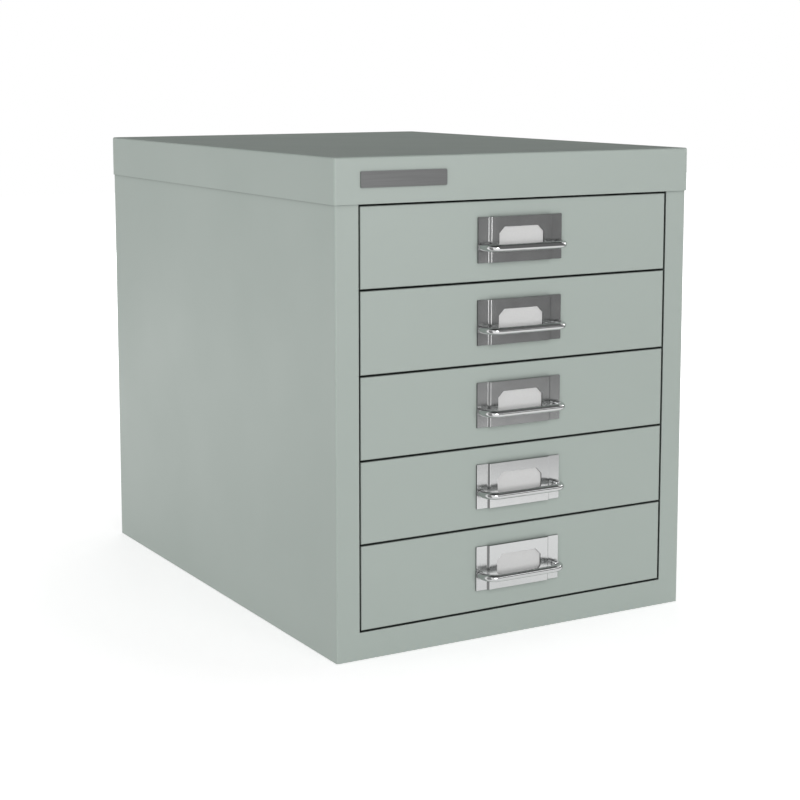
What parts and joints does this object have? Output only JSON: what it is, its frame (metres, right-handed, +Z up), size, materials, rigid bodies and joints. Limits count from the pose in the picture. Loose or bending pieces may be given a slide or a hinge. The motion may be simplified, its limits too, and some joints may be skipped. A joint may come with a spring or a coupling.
{
  "type": "drawer cabinet",
  "caption": "Small desk-top cabinet of folded painted steel with shallow sliding drawers, each with a bright label holder and a wire pull.",
  "frame": {"origin": "middle of the underside, where the cabinet rests", "axes": "+X to the right seen from the front, +Y to the back, +Z up"},
  "size_m": [0.278, 0.3943, 0.325],
  "materials": {
    "case_paint": "satin grey-green stoved enamel on sheet steel",
    "drawer_paint": "satin grey-green stoved enamel on sheet steel",
    "bright_steel": "bright plated",
    "zinc_steel": "bright zinc plate",
    "glide_nylon": "natural nylon",
    "card_stock": "plain white card",
    "badge_metal": "plain satin plate"
  },
  "bodies": {
    "case": {"top_cover": "case_paint", "left_side_panel": "case_paint", "right_side_panel": "case_paint", "back_panel": "case_paint", "base_pan": "case_paint", "front_header": "case_paint", "left_runner_rack": "case_paint", "right_runner_rack": "case_paint", "left_runner_glides": "glide_nylon", "right_runner_glides": "glide_nylon", "badge_plate": "badge_metal"},
    "drawer_1": {"drawer_1_tray": "drawer_paint", "drawer_1_front": "drawer_paint", "drawer_1_handle_plate": "bright_steel", "drawer_1_handle_loop": "bright_steel", "drawer_1_card": "card_stock", "drawer_1_push_nuts": "zinc_steel"},
    "drawer_2": {"drawer_2_tray": "drawer_paint", "drawer_2_front": "drawer_paint", "drawer_2_handle_plate": "bright_steel", "drawer_2_handle_loop": "bright_steel", "drawer_2_card": "card_stock", "drawer_2_push_nuts": "zinc_steel"},
    "drawer_3": {"drawer_3_tray": "drawer_paint", "drawer_3_front": "drawer_paint", "drawer_3_handle_plate": "bright_steel", "drawer_3_handle_loop": "bright_steel", "drawer_3_card": "card_stock", "drawer_3_push_nuts": "zinc_steel"},
    "drawer_4": {"drawer_4_tray": "drawer_paint", "drawer_4_front": "drawer_paint", "drawer_4_handle_plate": "bright_steel", "drawer_4_handle_loop": "bright_steel", "drawer_4_card": "card_stock", "drawer_4_push_nuts": "zinc_steel"},
    "drawer_5": {"drawer_5_tray": "drawer_paint", "drawer_5_front": "drawer_paint", "drawer_5_handle_plate": "bright_steel", "drawer_5_handle_loop": "bright_steel", "drawer_5_card": "card_stock", "drawer_5_push_nuts": "zinc_steel"}
  },
  "joints": [
    {"name": "drawer_1_slide", "type": "slide", "parent": "case", "child": "drawer_1", "axis": [0, -1, 0], "range_m": [0, 0.3]},
    {"name": "drawer_2_slide", "type": "slide", "parent": "case", "child": "drawer_2", "axis": [0, -1, 0], "range_m": [0, 0.3]},
    {"name": "drawer_3_slide", "type": "slide", "parent": "case", "child": "drawer_3", "axis": [0, -1, 0], "range_m": [0, 0.3]},
    {"name": "drawer_4_slide", "type": "slide", "parent": "case", "child": "drawer_4", "axis": [0, -1, 0], "range_m": [0, 0.3]},
    {"name": "drawer_5_slide", "type": "slide", "parent": "case", "child": "drawer_5", "axis": [0, -1, 0], "range_m": [0, 0.3]}
  ]
}
